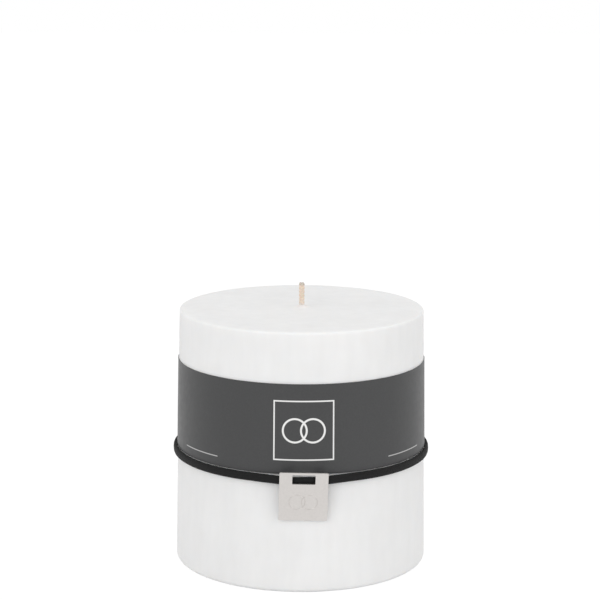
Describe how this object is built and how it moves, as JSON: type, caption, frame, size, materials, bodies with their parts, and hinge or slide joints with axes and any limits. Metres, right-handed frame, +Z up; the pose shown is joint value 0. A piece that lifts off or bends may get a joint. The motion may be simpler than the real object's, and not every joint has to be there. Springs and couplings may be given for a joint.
{
  "type": "unity candle",
  "caption": "White wax pillar candle with a grey card sleeve, an elastic band round it and a metal tag hanging on the band.",
  "frame": {"origin": "centre of the flat base, on the wick's axis, on the underside of the sustainer disc", "axes": "+Z up along the wick, -Y to the front where the tag hangs, +X to the right as seen from the front"},
  "size_m": [0.104, 0.1079, 0.1134],
  "materials": {
    "wax": "smooth white wax, faintly mottled, satin",
    "cotton": "braided cotton, waxed",
    "tinplate": "pressed tinplate",
    "card": "dark grey coated card, satin, white core at the cut edges",
    "tape": "double-sided adhesive tape",
    "elastic": "braided black elastic, matte",
    "steel": "crimped steel",
    "zinc": "cast zinc alloy, satin"
  },
  "bodies": {
    "candle": {"wax_pillar": "wax", "wick": "cotton", "wick_sustainer": "tinplate"},
    "band": {"elastic_band": "elastic", "band_ferrule": "steel"},
    "sleeve": {"paper_sleeve": "card", "seam_tape": "tape"},
    "tag": {"tag": "zinc"}
  },
  "joints": [
    {"name": "band_slide", "type": "slide", "parent": "candle", "child": "band", "axis": [0, 0, 1], "range_m": [0, 0.09]},
    {"name": "sleeve_slide", "type": "slide", "parent": "band", "child": "sleeve", "axis": [0, 0, 1], "range_m": [0, 0.068]},
    {"name": "tag_swing", "type": "hinge", "parent": "band", "child": "tag", "pos_m": [0, -0.05223, 0.04595], "axis": [-1, 0, 0], "range_deg": [0, 48]}
  ]
}
